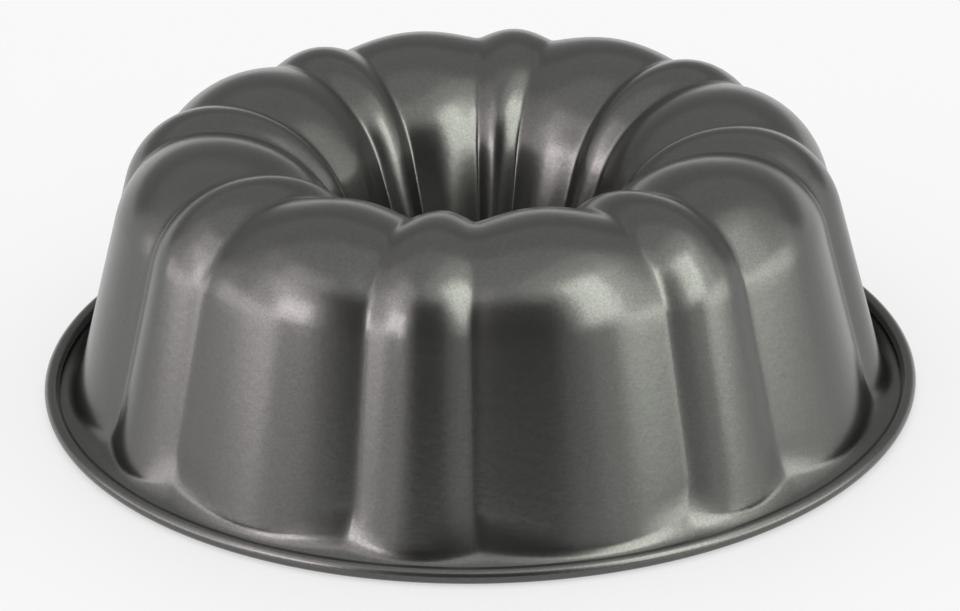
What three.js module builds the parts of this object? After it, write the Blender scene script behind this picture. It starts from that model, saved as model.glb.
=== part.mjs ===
// Fluted ring cake mould, standing upside down on its rolled rim.
// Millimetres, +Z up. The origin is the centre of the circle that the rim rests on, and a small lobe
// faces -Y.
//
// One steel sheet is drawn into a ring: outer wall, crown and centre tube. Big and small lobes alternate
// round it, and the small ones spread a little at the foot. The creases between them start from scoops in
// the flange and run over the crown and down into the tube. The foot turns out into a narrow flange. Its
// edge is rolled up and in round a wire, which keeps the rim round and hides the raw edge.

import * as THREE from 'three';

// Driving dimensions: rim
const RIM_DIAMETER = 260; // over the rolled rim
const SHEET = 0.6; // thickness of the steel sheet
const WIRE_DIAMETER = 2.7;
const WIRE_CLEARANCE = 0.2; // between the wire and the roll, all round
const ROLL_GAP = 0.5; // between the roll's raw edge and the flange
const FLANGE_LAND = 3; // flat that it rests on, from under the roll's middle to the foot fillet

// Driving dimensions: wall and crown
const HEIGHT = 78.4; // rest plane to the top of the crown
const FOOT_FILLET = 4.2; // under a lobe's ridge; it widens towards a crease
const WALL_DRAFT = THREE.MathUtils.degToRad(16);
const SHOULDER_RADIUS = 29.5; // wall to crown
const CROWN_LAND = 0.5; // flat between the crown's two arcs

// Driving dimensions: centre tube
const TUBE_DIAMETER = 41.2; // ridge to ridge, where the tube's walls would meet the rest plane
const TUBE_DRAFT = THREE.MathUtils.degToRad(20);
const TUBE_END = 6; // height of the tube's open end over the rest plane
const TUBE_LIP = 3; // outside radius of the lip turned in at that end
const TUBE_FADE = 18; // height over which the flutes run out above the lip

// Driving dimensions: flutes
const LOBE_PAIRS = 8; // each pair is a big lobe and a small one
const WALL_LOBE_RATIO = 1.91; // a big lobe's angle over a small one's, on the wall
const FOOT_LOBE_RATIO = 1.62; // the same at the flange
const FOOT_SPREAD = 15; // height over which the small lobes narrow above the flange
const TUBE_LOBE_RATIO = 1.72; // a big lobe's angle over a small one's, in the tube
const WALL_FLUTE = 3.4; // depth of a crease below the ridges, on the wall
const FOOT_FLUTE = 1.6; // the same at the flange
const FOOT_FADE = 6; // height over which it deepens above the flange
const CROWN_FLUTE = 3.3;
const CROWN_EASE = 4; // power of the height by which a crease's depth turns into the crown's
const TUBE_FLUTE = 2.6;

// How finely the round forms are cut
const SMALL_LOBE_STEPS = 6;
const BIG_LOBE_STEPS = 6;
const LIP_STEPS = 2;
const TUBE_STEPS = 3;
const CROWN_STEPS = 5; // in each of the crown's two arcs
const WALL_STEPS = 3;
const FILLET_STEPS = 3;
const ROLL_STEPS = 7;
const WIRE_SIDES = 8;

// Finishes
const COATING = { color: 0x54544f, roughness: 0.4, metalness: 0.6 };
const BARE_WIRE = { color: 0x9a9a98, roughness: 0.45, metalness: 1 };

const { cos, sin, tan, asin, hypot, PI } = Math;
const QUARTER = PI / 2;

// The rolled rim, seen as a section in r and z
const rollRadius = WIRE_DIAMETER / 2 + WIRE_CLEARANCE + SHEET;
const roll = { r: RIM_DIAMETER / 2 - rollRadius, z: rollRadius };
const rollEnd = PI + asin(1 - (SHEET + ROLL_GAP) / rollRadius);

// The foot fillet, between the flange's top face and the wall
const fillet = { r: roll.r - FLANGE_LAND, z: SHEET + FOOT_FILLET };
const filletReach = (1 - sin(WALL_DRAFT)) / cos(WALL_DRAFT); // reach along the flange, per unit of radius
const footRadius = fillet.r - FOOT_FILLET * filletReach;

// The crown's two arcs: the shoulder touches the wall, the other one the tube, and both touch the top
const shoulder = { z: HEIGHT - SHOULDER_RADIUS };
shoulder.r = footRadius - (SHOULDER_RADIUS + (shoulder.z - SHEET) * sin(WALL_DRAFT)) / cos(WALL_DRAFT);
const tubeRadius = TUBE_DIAMETER / 2;
const mouth = { r: shoulder.r - CROWN_LAND };
const mouthRadius =
  ((mouth.r - tubeRadius) * cos(TUBE_DRAFT) - HEIGHT * sin(TUBE_DRAFT)) / (1 - sin(TUBE_DRAFT));
mouth.z = HEIGHT - mouthRadius;

// The lip at the tube's open end, as the face that looks up sees it
const lipRadius = TUBE_LIP - SHEET;
const lip = { z: TUBE_END + TUBE_LIP };
lip.r = tubeRadius + lip.z * tan(TUBE_DRAFT) - lipRadius / cos(TUBE_DRAFT);
const tubeFoot = lip.z - lipRadius * sin(TUBE_DRAFT);

const mix = (a, b, t) => a + (b - a) * t;
const smoothstep = (t) => THREE.MathUtils.smoothstep(t, 0, 1);
const towardsCrown = (z) => (z / HEIGHT) ** CROWN_EASE;
const lowerFlute = (z) => mix(FOOT_FLUTE, WALL_FLUTE, smoothstep(z / FOOT_FADE));
const wallFlute = (z) => mix(lowerFlute(z), CROWN_FLUTE, towardsCrown(z));
const tubeFlute = (z) =>
  mix(TUBE_FLUTE, CROWN_FLUTE, towardsCrown(z)) * smoothstep((z - tubeFoot) / TUBE_FADE);

// Calls make(t) at even steps of t, from 0 or from the first step, up to 1
function along(steps, withStart, make) {
  const made = [];
  for (let i = withStart ? 0 : 1; i <= steps; i++) made.push(make(i / steps));
  return made;
}

// A station is a point of the visible face's section at a ridge. normal points out of the face, sink is the
// way a crease goes in there, flute is the crease's depth, and tube tells the wall (0) from the tube (1).
function station(r, z, normalAngle, sink, flute, tube) {
  return { r, z, normal: [cos(normalAngle), sin(normalAngle)], sink, flute, tube };
}

// The sheet's visible face, from the roll's raw edge, over the wall and crown, to the tube's lip
function visibleFace() {
  const radial = [1, 0];
  const inRoll = rollRadius - SHEET;
  const rollPart = along(ROLL_STEPS, true, (t) => {
    const a = mix(rollEnd, -QUARTER, t);
    return station(roll.r + inRoll * cos(a), roll.z + inRoll * sin(a), a + PI, radial, 0, 0);
  });

  // Under a crease the fillet is wider: the flange keeps one round edge and the crease ends in a scoop
  const filletPart = along(FILLET_STEPS, true, (t) => {
    const a = mix(1.5 * PI, PI + WALL_DRAFT, t);
    const z = fillet.z + FOOT_FILLET * sin(a);
    const sink = [-cos(a) / filletReach, -(1 + sin(a)) / filletReach];
    return station(fillet.r + FOOT_FILLET * cos(a), z, a + PI, sink, wallFlute(z), 0);
  });
  const wallFoot = fillet.z - FOOT_FILLET * sin(WALL_DRAFT);
  const wallTop = shoulder.z + SHOULDER_RADIUS * sin(WALL_DRAFT);
  const wallPart = along(WALL_STEPS, false, (t) => {
    const z = mix(wallFoot, wallTop, t);
    const sink = [1 + (1 - t) * sin(WALL_DRAFT), -(1 - t) * cos(WALL_DRAFT)];
    return station(footRadius - (z - SHEET) * tan(WALL_DRAFT), z, WALL_DRAFT, sink, wallFlute(z), 0);
  });

  // Over the crown the creases sink radially at the wall, straight down at the top, then radially again
  const shoulderPart = along(CROWN_STEPS, false, (t) => {
    const a = mix(WALL_DRAFT, QUARTER, t);
    const z = shoulder.z + SHOULDER_RADIUS * sin(a);
    const sink = [cos(QUARTER * t), sin(QUARTER * t)];
    return station(shoulder.r + SHOULDER_RADIUS * cos(a), z, a, sink, wallFlute(z), t / 2);
  });
  const mouthPart = along(CROWN_STEPS, true, (t) => {
    const a = mix(QUARTER, PI - TUBE_DRAFT, t);
    const z = mouth.z + mouthRadius * sin(a);
    const sink = [-sin(QUARTER * t), cos(QUARTER * t)];
    return station(mouth.r + mouthRadius * cos(a), z, a, sink, tubeFlute(z), (1 + t) / 2);
  });
  const mouthFoot = mouth.z + mouthRadius * sin(TUBE_DRAFT);
  const inward = [-1, 0];
  const tubePart = along(TUBE_STEPS, false, (t) => {
    const z = mix(mouthFoot, tubeFoot, t);
    return station(tubeRadius + z * tan(TUBE_DRAFT), z, PI - TUBE_DRAFT, inward, tubeFlute(z), 1);
  });
  const lipPart = along(LIP_STEPS, false, (t) => {
    const a = mix(-TUBE_DRAFT, -QUARTER, t);
    return station(lip.r + lipRadius * cos(a), lip.z + lipRadius * sin(a), a + PI, inward, 0, 1);
  });
  return [
    ...rollPart, ...filletPart, ...wallPart, ...shoulderPart,
    ...mouthPart, ...tubePart, ...lipPart,
  ];
}

// Half angles of a small and a big lobe at a station
function halfAngles({ z, tube }) {
  const halfPitch = PI / LOBE_PAIRS;
  const wallRatio = mix(FOOT_LOBE_RATIO, WALL_LOBE_RATIO, smoothstep(z / FOOT_SPREAD));
  const small = halfPitch / (1 + mix(wallRatio, TUBE_LOBE_RATIO, tube));
  return { small, big: halfPitch - small };
}

// One column of the sheet for each step across each lobe. across runs over the lobe from -1, in the
// crease, to 1.
const columns = [];
for (let pair = 0; pair < LOBE_PAIRS; pair++) {
  for (const [lobe, steps] of [['small', SMALL_LOBE_STEPS], ['big', BIG_LOBE_STEPS]]) {
    for (let i = 0; i < steps; i++) {
      columns.push({ pair, lobe, across: (2 * i) / steps - 1 });
    }
  }
}

function columnAngle({ pair, lobe, across }, at) {
  const middle = ((lobe === 'small' ? pair : pair + 0.5) * 2 * PI) / LOBE_PAIRS;
  return middle + across * halfAngles(at)[lobe];
}

// A lobe's section is the crest of a cosine: 0 at its ridge, 1 in the crease. A crease takes the mean of
// its two slopes.
const creaseShare = ({ across }) => 1 - cos(QUARTER * across);
function creaseSlope({ lobe, across }, at) {
  const half = halfAngles(at);
  if (across === -1) return (QUARTER / half.small + QUARTER / half.big) / 2;
  return (QUARTER * sin(QUARTER * Math.abs(across))) / half[lobe];
}

// Moves a station to its place in a column. The sheet keeps its thickness on a lobe's sloping sides.
function placed(at, column, inside) {
  const angle = columnAngle(column, at);
  const tilt = at.normal[0] * at.sink[0] + at.normal[1] * at.sink[1];
  const slope = ((at.flute * creaseSlope(column, at)) / at.r) * tilt;
  const inset = inside ? SHEET * hypot(1, slope) : 0;
  const depth = at.flute * creaseShare(column);
  const r = at.r - depth * at.sink[0] - inset * at.normal[0];
  const z = at.z - depth * at.sink[1] - inset * at.normal[1];
  return new THREE.Vector3(r * sin(angle), -r * cos(angle), z);
}

// A ring of lathe work, pressed out of round: pointAt(j, column) gives point j of its closed section
function pressedRing(pointCount, pointAt) {
  const section = [];
  for (let j = 0; j <= pointCount; j++) {
    const p = pointAt(j % pointCount, columns[0]);
    section.push(new THREE.Vector2(hypot(p.x, p.y), p.z));
  }
  const geometry = new THREE.LatheGeometry(section, columns.length);
  const position = geometry.getAttribute('position');
  for (let i = 0; i <= columns.length; i++) {
    for (let j = 0; j <= pointCount; j++) {
      const p = pointAt(j % pointCount, columns[i % columns.length]);
      position.setXYZ(i * (pointCount + 1) + j, p.x, p.y, p.z);
    }
  }
  geometry.computeVertexNormals();
  return geometry;
}

function flutedShell() {
  const face = visibleFace();
  const last = 2 * face.length - 1;
  return pressedRing(2 * face.length, (j, column) =>
    j < face.length ? placed(face[j], column, false) : placed(face[last - j], column, true));
}

function rimWire() {
  return pressedRing(WIRE_SIDES, (j, column) => {
    const a = (2 * PI * j) / WIRE_SIDES;
    const r = roll.r + (WIRE_DIAMETER / 2) * cos(a);
    const angle = columnAngle(column, { z: roll.z, tube: 0 });
    return new THREE.Vector3(r * sin(angle), -r * cos(angle), roll.z + (WIRE_DIAMETER / 2) * sin(a));
  });
}

function piece(name, geometry, finish) {
  const mesh = new THREE.Mesh(geometry, new THREE.MeshStandardMaterial(finish));
  mesh.name = name;
  return mesh;
}

const mould = new THREE.Group();
mould.add(piece('fluted_shell', flutedShell(), COATING));
mould.add(piece('rim_wire', rimWire(), BARE_WIRE));

export default mould;
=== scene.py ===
# %% [markdown]
# # A fluted ring cake mould
# On the real thing, one steel sheet is pressed into a ring with big and small lobes, and its edge is
# rolled round a wire. The mould stands upside down, on that rim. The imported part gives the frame: every
# piece made here sits where its solid sits, at the same size. What this lesson adds is the fine pressed
# surface, the coating and the light.

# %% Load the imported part
import math

import bpy
from mathutils import Matrix, Vector


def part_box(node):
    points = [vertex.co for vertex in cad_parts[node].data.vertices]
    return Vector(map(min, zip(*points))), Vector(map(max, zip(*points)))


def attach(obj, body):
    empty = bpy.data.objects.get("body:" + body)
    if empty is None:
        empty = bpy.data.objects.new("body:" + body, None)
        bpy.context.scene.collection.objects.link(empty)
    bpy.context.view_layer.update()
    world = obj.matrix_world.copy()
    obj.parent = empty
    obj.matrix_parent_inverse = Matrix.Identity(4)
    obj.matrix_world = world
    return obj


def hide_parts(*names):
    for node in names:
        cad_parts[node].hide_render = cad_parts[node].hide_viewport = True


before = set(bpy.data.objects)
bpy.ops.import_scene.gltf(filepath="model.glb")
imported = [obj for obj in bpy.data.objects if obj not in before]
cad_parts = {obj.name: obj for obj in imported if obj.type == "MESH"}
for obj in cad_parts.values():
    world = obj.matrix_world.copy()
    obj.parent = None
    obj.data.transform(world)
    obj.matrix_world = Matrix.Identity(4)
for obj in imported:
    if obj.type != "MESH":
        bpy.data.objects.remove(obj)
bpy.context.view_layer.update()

MM = 0.001  # everything in Blender is in metres
shell_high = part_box("fluted_shell")[1]
RIM_RADIUS = shell_high.x
HEIGHT = shell_high.z
print(f"the mould is {2 * RIM_RADIUS / MM:.1f} mm over the rim and {HEIGHT / MM:.1f} mm high")

# %% [markdown]
# ## The camera
# The camera looks down on the front lobes from about 25 degrees. Its place was worked out from the shape
# itself: the rim is a circle, so its ellipse in a picture gives the tilt, and how much nearer the front
# lobes look than the back ones gives the distance. A plain look-at would do, but the horizon leans a
# little, so the three camera axes are written out and turned by that lean.

# %% Camera
VIEW_AZIMUTH = math.radians(8.71)  # to the right of the small lobe that faces -Y
VIEW_ELEVATION = math.radians(24.89)
VIEW_LEAN = math.radians(-0.90)
VIEW_DISTANCE = 0.7472
AIM_RIGHT = 0.0003
AIM_HEIGHT = 0.0189
SENSOR_WIDTH = 36  # millimetres, as Blender's cameras have it
LENS = 93.62  # millimetres


def direction(azimuth, elevation):
    """Unit vector to a point of the studio. Azimuth 0 is the mould's front, -Y, and grows to the right."""
    flat = math.cos(elevation)
    return Vector((math.sin(azimuth) * flat, -math.cos(azimuth) * flat, math.sin(elevation)))


def make_camera():
    back = direction(VIEW_AZIMUTH, VIEW_ELEVATION)
    level = direction(VIEW_AZIMUTH + math.pi / 2, 0)
    upright = back.cross(level)
    right = level * math.cos(VIEW_LEAN) + upright * math.sin(VIEW_LEAN)
    up = back.cross(right)
    data = bpy.data.cameras.new("photo_view")
    data.sensor_width = SENSOR_WIDTH
    data.lens = LENS
    camera = bpy.data.objects.new("photo_view", data)
    camera.matrix_world = Matrix((right, up, back)).transposed().to_4x4()
    aim = level * AIM_RIGHT + Vector((0, 0, AIM_HEIGHT))
    camera.matrix_world.translation = aim + back * VIEW_DISTANCE
    bpy.context.scene.collection.objects.link(camera)
    bpy.context.scene.camera = camera
    return camera


camera = make_camera()
print("camera at", [round(x, 3) for x in camera.matrix_world.translation])

# %% [markdown]
# ## Formulas as nodes
# The pressed sheet follows a rule, so Geometry Nodes can make it, and its sizes stay open to change.
# Wiring a hundred Math nodes by hand is hard to read, so a Field stands for one value of a node tree, and
# arithmetic on Fields adds the Math nodes. The same class serves the shader trees later, because they use
# the same Math node.

# %% Fields


class Field:
    """A value that varies over a mesh. Arithmetic on Fields adds Math nodes to their tree."""

    def __init__(self, socket):
        self.socket = socket

    def __neg__(self):
        return math_node("MULTIPLY", self, -1)


def plug(value, socket):
    """Links a Field to a node's socket, or writes a plain value there."""
    if isinstance(value, Field):
        socket.id_data.links.new(value.socket, socket)
    else:
        socket.default_value = value


def math_node(operation, *values):
    tree = next(v.socket.id_data for v in values if isinstance(v, Field))
    node = tree.nodes.new("ShaderNodeMath")
    node.operation = operation
    for socket, value in zip(node.inputs, values):
        plug(value, socket)
    return Field(node.outputs[0])


OPERATORS = {"add": "ADD", "sub": "SUBTRACT", "mul": "MULTIPLY", "truediv": "DIVIDE", "pow": "POWER"}
for word, operation in OPERATORS.items():
    setattr(Field, f"__{word}__", lambda self, other, op=operation: math_node(op, self, other))
    setattr(Field, f"__r{word}__", lambda self, other, op=operation: math_node(op, other, self))
print("a Field has", len(OPERATORS), "operators")

# %% Functions of Fields


def sin(x):
    return math_node("SINE", x)


def cos(x):
    return math_node("COSINE", x)


def tan(x):
    return math_node("TANGENT", x)


def mix(a, b, t):
    return a + (b - a) * t


def smoothstep(x):
    """Eases from 0 to 1 as x goes from 0 to 1, and stays flat outside."""
    node = x.socket.id_data.nodes.new("ShaderNodeMapRange")
    node.interpolation_type = "SMOOTHSTEP"
    plug(x, node.inputs["Value"])
    return Field(node.outputs["Result"])


print("formulas can use", ", ".join(f.__name__ for f in (sin, cos, tan, mix, smoothstep)))

# %% [markdown]
# ## Sizes of the pressing
# These are the sizes that a toolmaker would put on the drawing, in metres and radians. They become the
# named inputs of the node tree, so that each can be changed in the modifier panel too. The rim and the
# height come from the frame, so that the surface can't drift from its solid.

# %% Sizes
QUARTER = math.pi / 2
SHELL_SIZES = {
    "Rim Radius": RIM_RADIUS,
    "Height": HEIGHT,
    "Sheet": 0.6 * MM,
    "Roll Radius": 2.15 * MM,  # outside of the rolled edge
    "Roll Gap": 0.5 * MM,  # between the roll's raw edge and the flange
    "Flange Land": 3.0 * MM,  # from under the roll's middle to the foot fillet
    "Foot Fillet": 4.2 * MM,
    "Wall Draft": math.radians(16),
    "Shoulder Radius": 29.5 * MM,
    "Crown Land": 0.5 * MM,
    "Tube Radius": 20.6 * MM,  # where the tube's walls would meet the rest plane
    "Tube Draft": math.radians(20),
    "Tube End": 6 * MM,
    "Tube Lip": 3 * MM,
    "Tube Fade": 18 * MM,  # height over which the flutes run out above the lip
    "Lobe Pairs": 8,
    "Wall Lobe Ratio": 1.91,  # a big lobe's angle over a small one's
    "Foot Lobe Ratio": 1.62,
    "Foot Spread": 15 * MM,  # height over which the small lobes narrow above the flange
    "Tube Lobe Ratio": 1.72,
    "Wall Flute": 3.4 * MM,  # depth of a crease below the ridges
    "Foot Flute": 1.6 * MM,
    "Foot Fade": 6 * MM,  # height over which a crease deepens above the flange
    "Crown Flute": 3.3 * MM,
    "Tube Flute": 2.6 * MM,
    "Wall Softness": 0.4,  # how far a crease is rounded, as a share of its depth
    "Crown Softness": 0.5,
}
print(len(SHELL_SIZES), "sizes")

# %% [markdown]
# ## From a tree to a plain mesh
# A Geometry Nodes modifier makes its mesh anew each time it is evaluated. A finished piece has to be a
# plain mesh, because the export drops instances and the frame measures what is there. So each tree ends
# by making its instances real and setting the material, runs once with its sizes set, and gives way to
# its result. A modifier's inputs are set by their identifiers, because a name is only a label.

# %% Trees and modifiers


def new_tree(name, sizes):
    """A Geometry Nodes tree with a named input for each size. Returns the tree and its sizes as Fields."""
    tree = bpy.data.node_groups.new(name, "GeometryNodeTree")
    for size in sizes:
        tree.interface.new_socket(size, in_out="INPUT", socket_type="NodeSocketFloat")
    tree.interface.new_socket("Geometry", in_out="OUTPUT", socket_type="NodeSocketGeometry")
    inputs = tree.nodes.new("NodeGroupInput")
    return tree, {size: Field(inputs.outputs[size]) for size in sizes}


def finish_tree(tree, geometry, material):
    """Ends a tree: smooth shading, real instances, the material and the output."""
    for kind in ("GeometryNodeSetShadeSmooth", "GeometryNodeRealizeInstances", "GeometryNodeSetMaterial"):
        node = tree.nodes.new(kind)
        tree.links.new(geometry, node.inputs["Geometry"])
        geometry = node.outputs["Geometry"]
    node.inputs["Material"].default_value = material
    output = tree.nodes.new("NodeGroupOutput")
    tree.links.new(geometry, output.inputs["Geometry"])


def run_tree(name, tree, sizes):
    """An object that carries the tree as its modifier, with the sizes set."""
    piece = bpy.data.objects.new(name, bpy.data.meshes.new(name))
    bpy.context.scene.collection.objects.link(piece)
    modifier = piece.modifiers.new(tree.name, "NODES")
    modifier.node_group = tree
    for item in tree.interface.items_tree:
        if item.in_out == "INPUT":
            modifier[item.identifier] = float(sizes[item.name])
    return piece


def make_plain(piece):
    """Turns what the modifiers make into the piece's own mesh, and removes them."""
    evaluated = piece.evaluated_get(bpy.context.evaluated_depsgraph_get())
    mesh = bpy.data.meshes.new_from_object(evaluated)
    piece.modifiers.clear()
    piece.data = mesh
    mesh.name = piece.name
    return mesh


shell_tree, shell_size = new_tree("fluted_shell", SHELL_SIZES)
print("the tree", shell_tree.name, "has", len(shell_size), "named inputs")

# %% [markdown]
# ## The coating
# The sheet is sprayed with a grey non-stick coat that holds fine metal flakes, then baked. It is satin: a
# lamp shows in it as a soft patch, and the grain is just visible from arm's length. A picture of the
# grain would need a UV map and would repeat, so cells and noise on the mould's own coordinates make it.
# Cells shade the flakes. Noise varies the gloss, and lifts a slight orange peel that bends the
# reflections.

# %% Patterns for materials


def new_material(name):
    """A material with its Principled shader."""
    material = bpy.data.materials.new(name)
    material.use_nodes = True
    return material, material.node_tree.nodes["Principled BSDF"]


def place_of(nodes):
    """Object coordinates, in metres, for a pattern that stays put on the piece."""
    return Field(nodes.new("ShaderNodeTexCoord").outputs["Object"])


def noise(nodes, place, size, detail=2.0):
    """Noise between 0 and 1 whose lumps are about size metres across."""
    node = nodes.new("ShaderNodeTexNoise")
    node.inputs["Scale"].default_value = 1 / size
    node.inputs["Detail"].default_value = detail
    plug(place, node.inputs["Vector"])
    return Field(node.outputs["Fac"])


def cells(nodes, place, size):
    """A random shade for each of many small cells, about size metres across."""
    node = nodes.new("ShaderNodeTexVoronoi")
    node.inputs["Scale"].default_value = 1 / size
    plug(place, node.inputs["Vector"])
    parts = nodes.new("ShaderNodeSeparateColor")
    plug(Field(node.outputs["Color"]), parts.inputs["Color"])
    return Field(parts.outputs["Red"])


def grey(nodes, value, tint):
    """A colour from one brightness and a slight tint."""
    node = nodes.new("ShaderNodeCombineColor")
    for channel, share in zip(("Red", "Green", "Blue"), tint):
        plug(value * share, node.inputs[channel])
    return Field(node.outputs["Color"])


def bump(nodes, height, depth):
    """Turns a height between 0 and 1 into a bumped normal. depth is in metres."""
    node = nodes.new("ShaderNodeBump")
    node.inputs["Distance"].default_value = depth
    plug(height, node.inputs["Height"])
    return Field(node.outputs["Normal"])


print("materials can use", ", ".join(f.__name__ for f in (noise, cells, grey, bump)))

# %% Coating
FLAKE_SIZE = 0.35 * MM
GRAIN_SIZE = 0.8 * MM
PEEL_SIZE = 2.5 * MM
CLOUD_SIZE = 40 * MM  # slow changes, as a sprayed coat has
DARKEST_FLAKE = 0.093
FLAKE_RANGE = 0.024
CLOUD_RANGE = 0.01
COAT_TINT = (1.01, 1.01, 0.96)
GLOSSIEST = 0.18  # roughness where the coat is smoothest
GRAIN_ROUGHNESS = 0.06
CLOUD_ROUGHNESS = 0.04
RELIEF = 0.03 * MM
PEEL_SHARE = 0.7  # of the relief; the grain makes the rest
FLAKE_METAL = 0.85


def nonstick_coating():
    material, shader = new_material("nonstick_coating")
    nodes = material.node_tree.nodes
    place = place_of(nodes)
    flakes = cells(nodes, place, FLAKE_SIZE)
    grain = noise(nodes, place, GRAIN_SIZE)
    peel = noise(nodes, place, PEEL_SIZE, detail=1)
    cloud = noise(nodes, place, CLOUD_SIZE)
    shade = DARKEST_FLAKE + FLAKE_RANGE * flakes + CLOUD_RANGE * (cloud - 0.5)
    plug(grey(nodes, shade, COAT_TINT), shader.inputs["Base Color"])
    roughness = GLOSSIEST + GRAIN_ROUGHNESS * grain + CLOUD_ROUGHNESS * cloud
    plug(roughness, shader.inputs["Roughness"])
    height = PEEL_SHARE * peel + (1 - PEEL_SHARE) * grain
    plug(bump(nodes, height, RELIEF), shader.inputs["Normal"])
    shader.inputs["Metallic"].default_value = FLAKE_METAL
    return material


coating = nonstick_coating()
print(coating.name, "has", len(coating.node_tree.nodes), "nodes")

# %% [markdown]
# ## Lobes round the ring
# Eight big and eight small lobes alternate round the mould, parted by creases. They could be modelled
# once and copied, but their share of the ring changes from the foot over the wall to the tube. So one
# formula serves them all: it gives each column of the sheet its angle round the ring. Columns crowd
# towards the creases, where the sheet bends most.

# %% Lobes
SMALL_LOBE_COLUMNS = 18
BIG_LOBE_COLUMNS = 26
COLUMNS = SHELL_SIZES["Lobe Pairs"] * (SMALL_LOBE_COLUMNS + BIG_LOBE_COLUMNS)


class Pressing:
    """The shell's tree while its bands are made. t runs along a band, and turn once round the ring."""

    def __init__(self, tree, size):
        self.tree = tree
        self.size = size
        position = tree.nodes.new("GeometryNodeInputPosition")
        split = tree.nodes.new("ShaderNodeSeparateXYZ")
        tree.links.new(position.outputs[0], split.inputs[0])
        self.t = Field(split.outputs["X"]) + 0.5
        self.turn = 0.5 - Field(split.outputs["Y"])
        self.join = tree.nodes.new("GeometryNodeJoinGeometry")

    def lobes(self, z, tube):
        """Angle of a column round the ring, and both lobes' half angles, from wall (0) to tube (1)."""
        size = self.size
        half_pitch = math.pi / size["Lobe Pairs"]
        narrowed = smoothstep(z / size["Foot Spread"])
        wall_ratio = mix(size["Foot Lobe Ratio"], size["Wall Lobe Ratio"], narrowed)
        small = half_pitch / (1 + mix(wall_ratio, size["Tube Lobe Ratio"], tube))
        big = half_pitch - small
        pairs = self.turn * size["Lobe Pairs"]
        pair = math_node("FLOOR", pairs)
        along_pair = pairs - pair
        split = SMALL_LOBE_COLUMNS / (SMALL_LOBE_COLUMNS + BIG_LOBE_COLUMNS)
        on_big = math_node("GREATER_THAN", along_pair, split)
        across_small = 2 * along_pair / split - 1
        across_big = 2 * (along_pair - split) / (1 - split) - 1
        across = sin(QUARTER * mix(across_small, across_big, on_big))
        angle = (2 * pair + on_big) * half_pitch + across * mix(small, big, on_big)
        return angle, half_pitch, small, big


work = Pressing(shell_tree, shell_size)
print(COLUMNS, "columns round the ring")

# %% [markdown]
# ## A band of the sheet
# The sheet's section, cut through a ridge, is a chain of arcs and straight lines. Each stretch becomes
# one band: a flat grid whose columns are wrapped round the ring. The pressing then sinks every point by
# the depth of the flute there. Across, a lobe is the crest of a cosine. A smooth minimum of the big and
# the small lobe's crests leaves a crease with a small round in it, as a press tool does.

# %% Bands
BAND_STEPS = {  # along each band of the section
    "roll": 22,
    "flange": 1,
    "fillet": 12,
    "wall": 16,
    "shoulder": 22,
    "crown": 1,
    "mouth": 28,
    "tube": 14,
    "lip": 4,
}
CROWN_EASE = 4  # power of the height by which the wall's creases turn into the crown's


def to_crown(z):
    return (z / work.size["Height"]) ** CROWN_EASE


def wall_flute(z):
    """Depth of a crease at a height on the wall or the crown."""
    size = work.size
    lower = mix(size["Foot Flute"], size["Wall Flute"], smoothstep(z / size["Foot Fade"]))
    return mix(lower, size["Crown Flute"], to_crown(z))


def press(band, r, z, sink=(0, 0), depth=0.0, tube=0.0):
    """Adds one band. r and z follow the section at a ridge. sink is the way its creases go in."""
    size = work.size
    nodes = work.tree.nodes
    links = work.tree.links
    angle, half_pitch, small, big = work.lobes(z, tube)
    from_small = math_node("PINGPONG", angle, half_pitch)
    small_lobe = 1 - cos(QUARTER * (from_small / small))
    big_lobe = 1 - cos(QUARTER * ((half_pitch - from_small) / big))
    softness = mix(size["Wall Softness"], size["Crown Softness"], to_crown(z))
    sunk = depth * math_node("SMOOTH_MIN", small_lobe, big_lobe, softness)
    r = r - sunk * sink[0]
    z = z - sunk * sink[1]
    place = nodes.new("ShaderNodeCombineXYZ")
    for value, axis in zip((r * sin(angle), -(r * cos(angle)), z), "XYZ"):
        plug(value, place.inputs[axis])
    grid = nodes.new("GeometryNodeMeshGrid")
    grid.inputs["Vertices X"].default_value = BAND_STEPS[band] + 1
    grid.inputs["Vertices Y"].default_value = COLUMNS + 1
    moved = nodes.new("GeometryNodeSetPosition")
    links.new(grid.outputs["Mesh"], moved.inputs["Geometry"])
    links.new(place.outputs[0], moved.inputs["Position"])
    links.new(moved.outputs[0], work.join.inputs[0])


print(len(BAND_STEPS), "bands make", sum(BAND_STEPS.values()) * COLUMNS, "faces")

# %% [markdown]
# ## The rolled rim
# The sheet's edge is rolled up and in, round the wire, until its raw edge nearly meets the flange. The
# gap that is left shows as a thin dark line, so the roll is an open arc and not a solid bead. The flange
# under it is flat, because the mould rests on it.

# %% Roll and flange


def rim_bands(size, t):
    """The roll, from its raw edge round to the flange, and the flange's flat. Returns the flat's end."""
    inside = size["Roll Radius"] - size["Sheet"]
    roll_r = size["Rim Radius"] - size["Roll Radius"]
    closing = math_node("ARCSINE", 1 - (size["Sheet"] + size["Roll Gap"]) / size["Roll Radius"])
    angle = mix(math.pi + closing, -QUARTER, t)
    press("roll", roll_r + inside * cos(angle), size["Roll Radius"] + inside * sin(angle))
    foot_r = roll_r - size["Flange Land"]
    press("flange", mix(roll_r, foot_r, t), size["Sheet"])
    return foot_r


foot_r = rim_bands(shell_size, work.t)
print("with the rim, the tree has", len(shell_tree.nodes), "nodes")

# %% [markdown]
# ## Foot and wall
# A fillet turns the flange up into the wall, which leans in so that a cake slides out. Under a crease the
# fillet is wider: the flange keeps one round edge, and the crease starts from a scoop. No extra piece is
# needed for that. A crease sinks nothing at the flange's edge, down and in at the wall's foot, and
# straight in at its top.

# %% Fillet and wall


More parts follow.
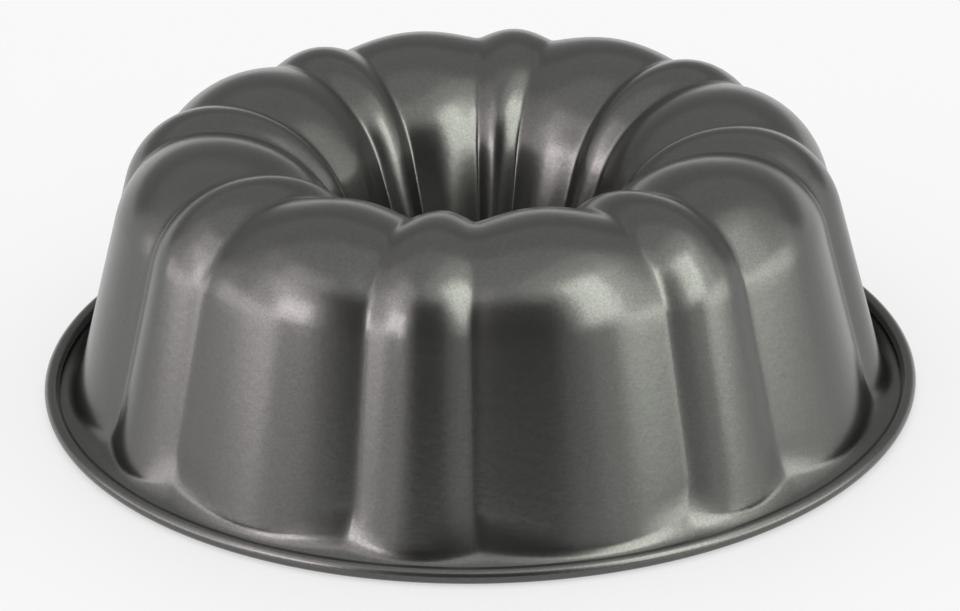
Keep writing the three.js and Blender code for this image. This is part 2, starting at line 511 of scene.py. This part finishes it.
def wall_bands(size, t, foot_r):
    """The fillet at a lobe's foot, and the wall. Returns the radius where the wall starts."""
    draft = size["Wall Draft"]
    fillet = size["Foot Fillet"]
    fillet_z = size["Sheet"] + fillet
    reach = (1 - sin(draft)) / cos(draft)
    angle = mix(1.5 * math.pi, math.pi + draft, t)
    z = fillet_z + fillet * sin(angle)
    sink = (-cos(angle) / reach, (-1 - sin(angle)) / reach)
    press("fillet", foot_r + fillet * cos(angle), z, sink, wall_flute(z))

    wall_foot_r = foot_r - fillet * reach
    shoulder_z = size["Height"] - size["Shoulder Radius"]
    wall_top = shoulder_z + size["Shoulder Radius"] * sin(draft)
    z = mix(fillet_z - fillet * sin(draft), wall_top, t)
    sink = (1 + (1 - t) * sin(draft), (t - 1) * cos(draft))
    press("wall", wall_foot_r - (z - size["Sheet"]) * tan(draft), z, sink, wall_flute(z))
    return wall_foot_r


wall_foot_r = wall_bands(shell_size, work.t, foot_r)
print("with the wall, the tree has", len(shell_tree.nodes), "nodes")

# %% [markdown]
# ## Crown and tube
# One arc bends the wall over into the crown, and a second leads down into the centre tube, which brings
# heat to the middle of a cake. Arcs that touch each other and the walls leave no edge, so the bands join
# smoothly. The creases run on over both: they sink straight in at the wall, down at the top and outwards
# in the tube, and run out above the lip at the tube's open end.

# %% Crown


def crown_bands(size, t, wall_foot_r):
    """The shoulder's arc and the crown's narrow flat. Returns the radius where the flat ends."""
    draft = size["Wall Draft"]
    height = size["Height"]
    shoulder = size["Shoulder Radius"]
    turned = QUARTER * t
    shoulder_r = wall_foot_r - (shoulder + (height - shoulder - size["Sheet"]) * sin(draft)) / cos(draft)
    angle = mix(draft, QUARTER, t)
    z = height - shoulder + shoulder * sin(angle)
    sink = (cos(turned), sin(turned))
    press("shoulder", shoulder_r + shoulder * cos(angle), z, sink, wall_flute(z), t / 2)
    land_r = shoulder_r - size["Crown Land"]
    press("crown", mix(shoulder_r, land_r, t), height, (0, 1), size["Crown Flute"], 0.5)
    return land_r


land_r = crown_bands(shell_size, work.t, wall_foot_r)
print("with the crown, the tree has", len(shell_tree.nodes), "nodes")

# %% Tube


def tube_bands(size, t, land_r):
    """The arc from the crown into the tube, the tube's wall and the lip at its open end."""
    draft = size["Tube Draft"]
    height = size["Height"]
    turned = QUARTER * t
    mouth_width = (land_r - size["Tube Radius"]) * cos(draft) - height * sin(draft)
    mouth = mouth_width / (1 - sin(draft))
    lip = size["Tube Lip"] - size["Sheet"]
    lip_z = size["Tube End"] + size["Tube Lip"]
    tube_foot = lip_z - lip * sin(draft)

    def tube_flute(z):
        fade = smoothstep((z - tube_foot) / size["Tube Fade"])
        return mix(size["Tube Flute"], size["Crown Flute"], to_crown(z)) * fade

    angle = mix(QUARTER, math.pi - draft, t)
    z = height - mouth + mouth * sin(angle)
    sink = (-sin(turned), cos(turned))
    press("mouth", land_r + mouth * cos(angle), z, sink, tube_flute(z), 0.5 + t / 2)
    z = mix(height - mouth + mouth * sin(draft), tube_foot, t)
    press("tube", size["Tube Radius"] + z * tan(draft), z, (-1, 0), tube_flute(z), 1.0)
    lip_r = size["Tube Radius"] + lip_z * tan(draft) - lip / cos(draft)
    angle = mix(-draft, -QUARTER, t)
    press("lip", lip_r + lip * cos(angle), lip_z + lip * sin(angle), tube=1.0)


tube_bands(shell_size, work.t, land_r)
print("with the tube, the tree has", len(shell_tree.nodes), "nodes")

# %% [markdown]
# ## One sheet with a thickness
# The bands make only the face that shows. Welding their edges makes one sheet of them, and a Solidify
# modifier gives it its 0.6 mm towards the inside. Even thickness keeps the creases from thinning. The
# result becomes a plain mesh that stands for the solid shell. The two raw edges stay sharp, and the rest
# is shaded smooth.

# %% Shell
WELD_DISTANCE = 0.005 * MM
RAW_EDGE_ANGLE = math.radians(60)


def weld_bands(tree, bands):
    weld = tree.nodes.new("GeometryNodeMergeByDistance")
    weld.inputs["Distance"].default_value = WELD_DISTANCE
    tree.links.new(bands, weld.inputs["Geometry"])
    finish_tree(tree, weld.outputs["Geometry"], coating)


def make_shell():
    shell = run_tree("fluted_shell_surface", shell_tree, SHELL_SIZES)
    sheet = shell.modifiers.new("sheet", "SOLIDIFY")
    sheet.thickness = SHELL_SIZES["Sheet"]
    sheet.offset = -1
    sheet.use_even_offset = True
    sheet.use_quality_normals = True
    mesh = make_plain(shell)
    mesh.set_sharp_from_angle(angle=RAW_EDGE_ANGLE)
    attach(shell, "root")
    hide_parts("fluted_shell")
    return shell


weld_bands(shell_tree, work.join.outputs[0])
shell = make_shell()
print("the shell has", sum(len(f.vertices) - 2 for f in shell.data.polygons), "triangles")

# %% [markdown]
# ## The rim wire
# A ring of drawn steel wire lies inside the roll and keeps the rim round. Only its edge could be seen
# through the roll's gap, but it is a piece of its own. A torus would do, but a circle swept along a
# circle, again in nodes, keeps its sizes tied to the roll. Fine noise gives it the uneven gloss of bare
# wire.

# %% Wire finish
MOTTLE_SIZE = 0.25 * MM
DARKEST_MOTTLE = 0.45
MOTTLE_RANGE = 0.2
WIRE_TINT = (1.0, 0.99, 0.97)
GLOSSIEST_MOTTLE = 0.3
MOTTLE_ROUGHNESS = 0.25


def drawn_wire():
    material, shader = new_material("bare_wire")
    nodes = material.node_tree.nodes
    mottle = noise(nodes, place_of(nodes), MOTTLE_SIZE, detail=3)
    shade = DARKEST_MOTTLE + MOTTLE_RANGE * mottle
    plug(grey(nodes, shade, WIRE_TINT), shader.inputs["Base Color"])
    plug(GLOSSIEST_MOTTLE + MOTTLE_ROUGHNESS * mottle, shader.inputs["Roughness"])
    shader.inputs["Metallic"].default_value = 1
    return material


bare_wire = drawn_wire()
print(bare_wire.name, "has", len(bare_wire.node_tree.nodes), "nodes")

# %% Wire
WIRE_SIZES = {
    "Ring Radius": RIM_RADIUS - SHELL_SIZES["Roll Radius"],
    "Wire Radius": 1.35 * MM,
    "Lift": SHELL_SIZES["Roll Radius"],
}
WIRE_STEPS = {"Ring Radius": 256, "Wire Radius": 16}  # points on each circle


def rim_wire_tree(material):
    tree, size = new_tree("rim_wire", WIRE_SIZES)
    circles = {}
    for radius, steps in WIRE_STEPS.items():
        circle = tree.nodes.new("GeometryNodeCurvePrimitiveCircle")
        circle.inputs["Resolution"].default_value = steps
        plug(size[radius], circle.inputs["Radius"])
        circles[radius] = circle.outputs["Curve"]
    sweep = tree.nodes.new("GeometryNodeCurveToMesh")
    tree.links.new(circles["Ring Radius"], sweep.inputs["Curve"])
    tree.links.new(circles["Wire Radius"], sweep.inputs["Profile Curve"])
    lift = tree.nodes.new("ShaderNodeCombineXYZ")
    plug(size["Lift"], lift.inputs["Z"])
    raised = tree.nodes.new("GeometryNodeTransform")
    tree.links.new(sweep.outputs["Mesh"], raised.inputs["Geometry"])
    tree.links.new(lift.outputs[0], raised.inputs["Translation"])
    finish_tree(tree, raised.outputs["Geometry"], material)
    return tree


def make_wire():
    wire = run_tree("rim_wire_ring", rim_wire_tree(bare_wire), WIRE_SIZES)
    make_plain(wire)
    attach(wire, "root")
    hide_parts("rim_wire")
    return wire


wire = make_wire()
print("the wire has", len(wire.data.polygons), "faces")

# %% [markdown]
# ## Table and surround
# The mould stands on a satin white table, in an even white surround of strength 1 that gives all the
# plain light. So its crown mirrors white and looks as grey as its coat is written. Near the mould the
# table falls into shade. More light would wash the coat out, so the camera and the reflections see the
# table half as plain white instead: it stays pale and still keeps the soft shadow.

# %% Table
TABLE_RADIUS = 4
TABLE_EDGES = 96
TABLE_COLOUR = (0.95, 0.95, 0.95, 1)
TABLE_ROUGHNESS = 0.35
WHITENING = 0.5  # share of plain white that the camera and reflections see on the table
WHITE = (1, 1, 1, 1)


def whiten(material, share):
    """Mixes white of strength 1 into what the camera and reflections see. Its diffuse light stays."""
    tree = material.node_tree
    path = tree.nodes.new("ShaderNodeLightPath")
    looks = Field(path.outputs["Is Camera Ray"])
    for ray in ("Is Glossy Ray", "Is Transmission Ray"):
        looks = math_node("MAXIMUM", looks, Field(path.outputs[ray]))
    white = tree.nodes.new("ShaderNodeEmission")
    white.inputs["Color"].default_value = WHITE
    both = tree.nodes.new("ShaderNodeMixShader")
    plug(looks * share, both.inputs["Fac"])
    tree.links.new(tree.nodes["Principled BSDF"].outputs["BSDF"], both.inputs[1])
    tree.links.new(white.outputs["Emission"], both.inputs[2])
    tree.links.new(both.outputs["Shader"], tree.nodes["Material Output"].inputs["Surface"])


def make_floor():
    bpy.ops.mesh.primitive_circle_add(vertices=TABLE_EDGES, radius=TABLE_RADIUS, fill_type="NGON")
    floor = bpy.context.object
    floor.name = "white_table"
    material, shader = new_material("white_table")
    shader.inputs["Base Color"].default_value = TABLE_COLOUR
    shader.inputs["Roughness"].default_value = TABLE_ROUGHNESS
    whiten(material, WHITENING)
    floor.data.materials.append(material)
    return floor


floor = make_floor()
print(floor.name, "is", 2 * TABLE_RADIUS, "m across")

# %% Surround


def make_world():
    """White all round, at a strength of 1, so that a colour renders about as it is written."""
    world = bpy.data.worlds.new("surround")
    world.use_nodes = True
    world.node_tree.nodes["Background"].inputs["Color"].default_value = WHITE
    bpy.context.scene.world = world
    return world


world = make_world()
bpy.context.scene.view_settings.view_transform = "Standard"
print("the surround's strength is", world.node_tree.nodes["Background"].inputs["Strength"].default_value)

# %% [markdown]
# ## Soft boxes and dull cards
# A satin form gets its shape from what it mirrors. Soft boxes at both sides are brighter than the
# surround, and dull cards in front and behind are darker, as a room behind a camera is. The lobes bend
# them into bright bands and a dark front. Lamps that light everything would also do that, but would wash
# out the coat and the table. So all of these are seen only in reflections, and the level of the light
# stays plain.

# %% Soft boxes
STUDIO_RADIUS = 2.0  # metres from the mould to each soft box
BOXES = {  # azimuth, elevation, width and height in degrees, then brightness added to the white
    "right_key": (56, 37, 24, 42, 3.7),
    "right_edge": (53, 37, 36, 50, 0.7),
    "right_low": (84, 8, 46, 16, 2.1),
    "right_side": (80, 30, 26, 50, 1.0),
    "right_far": (92, 30, 48, 58, 0.45),
    "right_high": (58, 66, 60, 24, 0.6),
    "left_key": (-34, 20, 8, 19, 6.0),
    "left_key_twin": (-45, 20, 9, 19, 5.0),
    "left_edge": (-40, 23, 32, 30, 0.7),
    "left_low": (-72, 7, 46, 14, 1.85),
    "left_high": (-46, 45, 30, 26, 1.0),
    "left_side": (-60, 21, 28, 40, 0.75),
    "left_far": (-72, 28, 48, 54, 0.3),
}
GREEN_WHITE = (0.96, 1.0, 0.92)  # on the right
PINK_WHITE = (1.0, 0.91, 0.97)  # on the left


def facing_mould(made, azimuth, elevation, distance):
    """Puts a lamp or a card in the studio, turned to the mould, where only reflections see it."""
    towards = direction(math.radians(azimuth), math.radians(elevation))
    made.location = towards * distance
    made.rotation_euler = towards.to_track_quat("Z", "Y").to_euler()
    made.visible_camera = False
    made.visible_diffuse = False
    made.visible_shadow = False


def span(degrees, distance):
    """Width that looks as wide as an angle at a distance."""
    return 2 * distance * math.tan(math.radians(degrees / 2))


def soft_box(name, azimuth, elevation, width, height, brightness):
    data = bpy.data.lights.new(name, "AREA")
    data.shape = "RECTANGLE"
    data.size = span(width, STUDIO_RADIUS)
    data.size_y = span(height, STUDIO_RADIUS)
    data.energy = brightness * math.pi * data.size * data.size_y
    data.color = PINK_WHITE if azimuth < 0 else GREEN_WHITE
    lamp = bpy.data.objects.new(name, data)
    facing_mould(lamp, azimuth, elevation, STUDIO_RADIUS)
    bpy.context.scene.collection.objects.link(lamp)
    return lamp


lamps = [soft_box(name, *box) for name, box in BOXES.items()]
print("the studio has", len(lamps), "soft boxes")

# %% Dull cards
CARDS = {  # the same angles, then shares of the white's brightness and of the boxes' distance
    "dark_room": (6.5, 22, 41, 46, 0.08, 1.1),
    "dim_room": (7, 24, 60, 54, 0.45, 1.15),
    "dim_doorway": (11, 3, 66, 14, 0.5, 1.2),
    "back_wall": (188, 27, 120, 30, 0.4, 1.1),
    "back_ceiling": (188, 59, 120, 34, 0.7, 1.1),
}
BLACK = (0, 0, 0, 1)


def dull_card(name, azimuth, elevation, width, height, brightness, away):
    """A part of the room that is darker than the white surround."""
    bpy.ops.mesh.primitive_plane_add(size=1)
    card = bpy.context.object
    card.name = name
    distance = away * STUDIO_RADIUS
    facing_mould(card, azimuth, elevation, distance)
    card.scale = (span(width, distance), span(height, distance), 1)
    material, shader = new_material(name)
    shader.inputs["Base Color"].default_value = BLACK
    shader.inputs["Specular IOR Level"].default_value = 0
    shader.inputs["Emission Color"].default_value = WHITE
    shader.inputs["Emission Strength"].default_value = brightness
    card.data.materials.append(material)
    return card


cards = [dull_card(name, *card) for name, card in CARDS.items()]
print("the studio has", len(cards), "dull cards")
